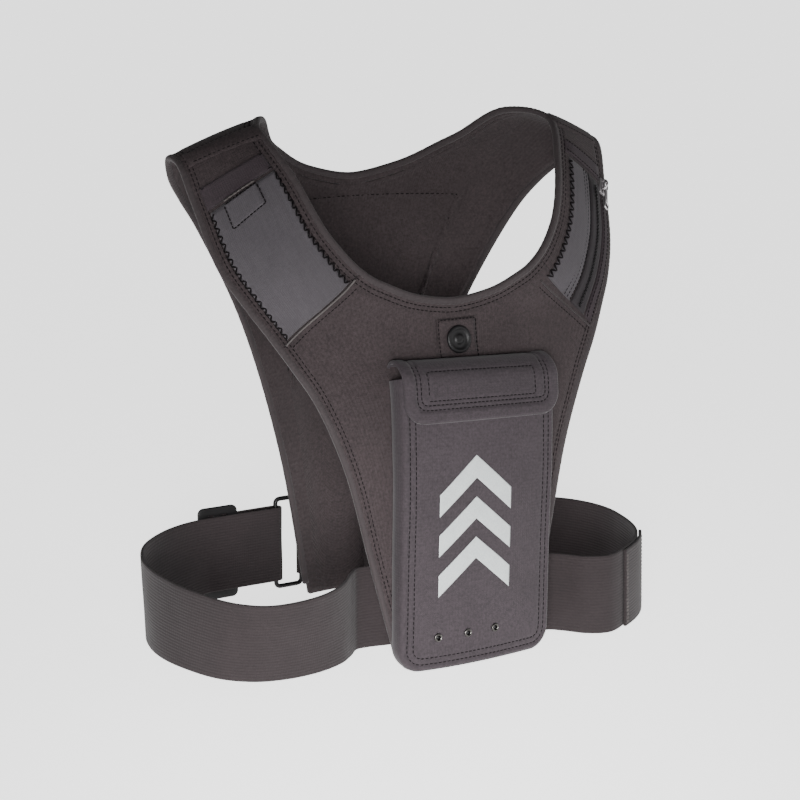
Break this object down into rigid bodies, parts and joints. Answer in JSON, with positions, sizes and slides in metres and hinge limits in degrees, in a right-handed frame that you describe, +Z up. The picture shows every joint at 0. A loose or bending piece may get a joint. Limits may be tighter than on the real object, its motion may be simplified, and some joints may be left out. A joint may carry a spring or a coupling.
{
  "type": "safety harness vest",
  "caption": "Running safety vest in dark neoprene with shoulder straps, flapped phone pocket, strap pockets with a zip, chevrons and adjustable elastic waist belts.",
  "frame": {"origin": "centre of the bounding box, on the surface the vest stands on", "axes": "+Z up, the wearer faces -Y, +X to the wearer's left"},
  "size_m": [0.3464, 0.1943, 0.3245],
  "materials": {
    "neoprene_charcoal": "knit-faced neoprene foam, matt",
    "grey_knit": "grey reflective knit, low sheen",
    "dark_hem": "folded knit hem, matt",
    "hook_loop": "hook and loop pile",
    "zip_tape": "woven polyester tape",
    "zip_teeth": "moulded coil",
    "zip_metal": "black lacquered zinc",
    "edge_binding": "folded elastane binding",
    "seam_piping": "light seam edge",
    "pocket_cloth": "knit-faced neoprene foam, slightly sheeny",
    "reflective_print": "retroreflective print, glass bead film",
    "reflective_panel": "retroreflective panel",
    "eyelet_metal": "nickel plated",
    "elastic_webbing": "ribbed woven elastic",
    "black_plastic": "moulded acetal"
  },
  "bodies": {
    "vest_body": {"back_panel": "neoprene_charcoal", "back_reflector": "reflective_panel", "drain_eyelet_1": "eyelet_metal", "drain_eyelet_2": "eyelet_metal", "drain_eyelet_3": "eyelet_metal", "flap_root": "pocket_cloth", "front_panel": "neoprene_charcoal", "left_belt_hem": "elastic_webbing", "left_edge_binding": "edge_binding", "left_seam_piping": "seam_piping", "left_shoulder_strap": "neoprene_charcoal", "left_shoulder_tape": "neoprene_charcoal", "left_strap_light_band": "reflective_print", "left_strap_pocket": "grey_knit", "left_strap_side_band": "dark_hem", "left_waist_belt": "elastic_webbing", "left_zip_tape": "zip_tape", "left_zip_teeth": "zip_teeth", "neck_binding": "edge_binding", "pocket_back": "pocket_cloth", "pocket_front": "pocket_cloth", "pocket_gusset": "pocket_cloth", "pocket_loop_tape": "hook_loop", "press_stud": "black_plastic", "reflective_chevron_1": "reflective_print", "reflective_chevron_2": "reflective_print", "reflective_chevron_3": "reflective_print", "right_edge_binding": "edge_binding", "right_seam_piping": "seam_piping", "right_shoulder_strap": "neoprene_charcoal", "right_shoulder_tape": "neoprene_charcoal", "right_strap_closure": "hook_loop", "right_strap_pocket": "grey_knit", "right_strap_pocket_hem": "dark_hem", "right_waist_belt": "elastic_webbing", "ring_keeper": "elastic_webbing", "stud_tab": "neoprene_charcoal", "waist_ring": "black_plastic"},
    "pocket_flap_body": {"pocket_flap": "pocket_cloth"},
    "zip_slider_body": {"left_zip_slider": "zip_metal"},
    "zip_pull_body": {"left_zip_pull": "zip_metal"},
    "tri_glide_body": {"belt_tri_glide": "black_plastic"}
  },
  "joints": [
    {"name": "flap_hinge", "type": "hinge", "parent": "vest_body", "child": "pocket_flap_body", "pos_m": [0.0072, -0.0653, 0.183], "axis": [-0.9991, 0.0055, 0.0419], "range_deg": [0, 100]},
    {"name": "zip_slide", "type": "slide", "parent": "vest_body", "child": "zip_slider_body", "axis": [-0.3107, -0.4795, -0.8207], "range_m": [0, 0.05]},
    {"name": "zip_pull_hinge", "type": "hinge", "parent": "zip_slider_body", "child": "zip_pull_body", "pos_m": [0.13753, -0.0247, 0.27595], "axis": [-0.8196, -0.302, 0.4868], "range_deg": [0, 120]},
    {"name": "tri_glide_slide", "type": "slide", "parent": "vest_body", "child": "tri_glide_body", "axis": [1, 0, 0], "range_m": [0, 0.022]}
  ]
}
